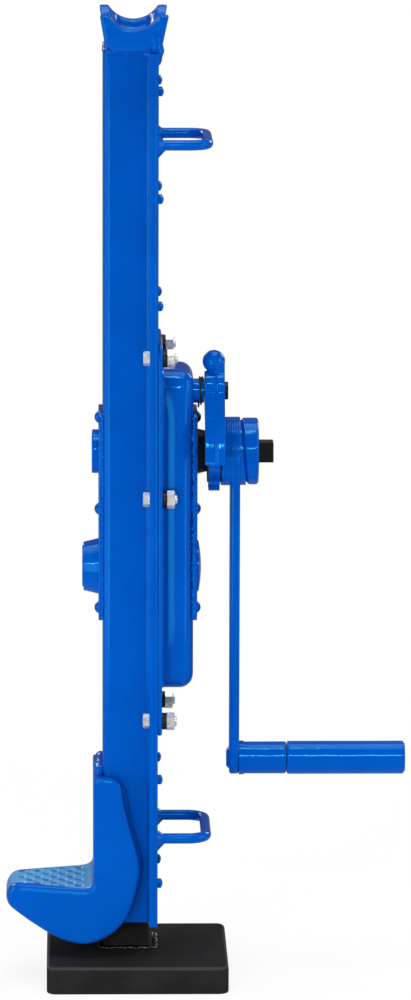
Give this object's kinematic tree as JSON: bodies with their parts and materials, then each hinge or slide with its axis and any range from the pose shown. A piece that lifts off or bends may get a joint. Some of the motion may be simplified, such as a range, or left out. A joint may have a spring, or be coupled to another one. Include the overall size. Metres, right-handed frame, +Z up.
{
  "type": "rack track jack",
  "caption": "Steel rack jack with base plate and rack, climbing casing with low claw toe and horned head, geared crank with ratchet brake and carry handles.",
  "frame": {"origin": "middle of the base plate's underside, on the ground", "axes": "+Z up along the rack; +X towards the crank, so the claw points to -X; +Y to the rear of the pictured side"},
  "size_m": [0.331, 0.152, 0.8045],
  "materials": {
    "blue_paint": "gloss blue paint on steel",
    "black_steel": "satin black",
    "zinc_steel": "bright zinc",
    "gear_steel": "greased machined steel",
    "bush_bronze": "turned bronze",
    "guide_iron": "dark grey cast",
    "brake_lining": "dull lining"
  },
  "bodies": {
    "foot": {"base_plate": "black_steel", "rack_bar": "black_steel", "rack_foot": "black_steel", "rack_stop_plate": "black_steel", "rack_stop_screw": "black_steel"},
    "crank": {"crank_shaft": "black_steel", "square_pin": "black_steel", "brake_disc_inner": "brake_lining", "brake_disc_outer": "brake_lining", "ratchet_wheel": "blue_paint", "crank_drum": "blue_paint", "crank_arm": "blue_paint", "cam_ring": "blue_paint", "end_disc": "blue_paint", "grip_pin": "blue_paint", "grip_ferrule": "blue_paint", "grip_nut": "zinc_steel"},
    "grip": {"grip_sleeve": "blue_paint", "grip_plug": "blue_paint"},
    "pawl": {"pawl": "blue_paint"},
    "lay_1": {"lay_shaft_1": "gear_steel", "lay_wheel_1": "gear_steel"},
    "lay_2": {"lay_shaft_2": "gear_steel", "lay_wheel_2": "gear_steel"},
    "main_gear": {"main_shaft": "gear_steel", "rack_pinion": "gear_steel", "main_wheel": "gear_steel"},
    "casing": {"back_plate": "blue_paint", "back_plate_rivets": "blue_paint", "carry_handle_lower": "blue_paint", "carry_handle_upper": "blue_paint", "claw_weld": "blue_paint", "column_channel": "blue_paint", "cover_bolts": "zinc_steel", "cover_nuts": "zinc_steel", "cover_washers": "zinc_steel", "crank_bearing": "black_steel", "front_bearing_plate": "blue_paint", "front_crank_bush": "bush_bronze", "front_crank_cap": "blue_paint", "front_main_bush": "bush_bronze", "front_main_cap": "blue_paint", "front_plate_rivets": "blue_paint", "gear_cover": "blue_paint", "inner_lay_bushes": "bush_bronze", "inner_main_bush": "bush_bronze", "lifting_claw": "blue_paint", "load_head": "blue_paint", "pawl_pin": "black_steel", "pawl_spring": "black_steel", "pawl_stub": "blue_paint", "rack_guide_lower": "guide_iron", "rack_guide_upper": "guide_iron", "rear_bearing_plate": "blue_paint", "rear_lay_bushes": "bush_bronze", "rear_main_bush": "bush_bronze", "rear_main_cap": "blue_paint", "rear_plate_rivets": "blue_paint", "spring_washers": "black_steel"}
  },
  "joints": [
    {"name": "lift_slide", "type": "slide", "parent": "foot", "child": "casing", "axis": [0, 0, 1], "range_m": [0, 0.34473]},
    {"name": "crank_turn", "type": "hinge", "parent": "casing", "child": "crank", "pos_m": [0.06, -0.0034, 0.4417], "axis": [1, 0, 0], "range_deg": [0, 26910]},
    {"name": "lay_1_turn", "type": "hinge", "parent": "casing", "child": "lay_1", "pos_m": [0.03, -0.0034, 0.4097], "axis": [1, 0, 0], "range_deg": [-10530.5, 0]},
    {"name": "lay_2_turn", "type": "hinge", "parent": "casing", "child": "lay_2", "pos_m": [0.03, -0.0034, 0.3777], "axis": [1, 0, 0], "range_deg": [0, 4120.9]},
    {"name": "main_turn", "type": "hinge", "parent": "casing", "child": "main_gear", "pos_m": [0, -0.0034, 0.3457], "axis": [1, 0, 0], "range_deg": [-1612.6, 0]},
    {"name": "pawl_swing", "type": "hinge", "parent": "casing", "child": "pawl", "pos_m": [0.063, -0.014, 0.4937], "axis": [1, 0, 0], "range_deg": [-20, 3.2], "stiffness_Nm_per_rad": 0.4},
    {"name": "grip_turn", "type": "hinge", "parent": "crank", "child": "grip", "pos_m": [0.17, -0.0034, 0.1837], "axis": [1, 0, 0], "continuous": true}
  ],
  "couplings": [
    {"joint": "lift_slide", "follows": "crank_turn", "m_per_rad": 0.00073397},
    {"joint": "lay_1_turn", "follows": "crank_turn", "ratio": -0.3913},
    {"joint": "lay_2_turn", "follows": "crank_turn", "ratio": 0.15312},
    {"joint": "main_turn", "follows": "crank_turn", "ratio": -0.059916}
  ]
}
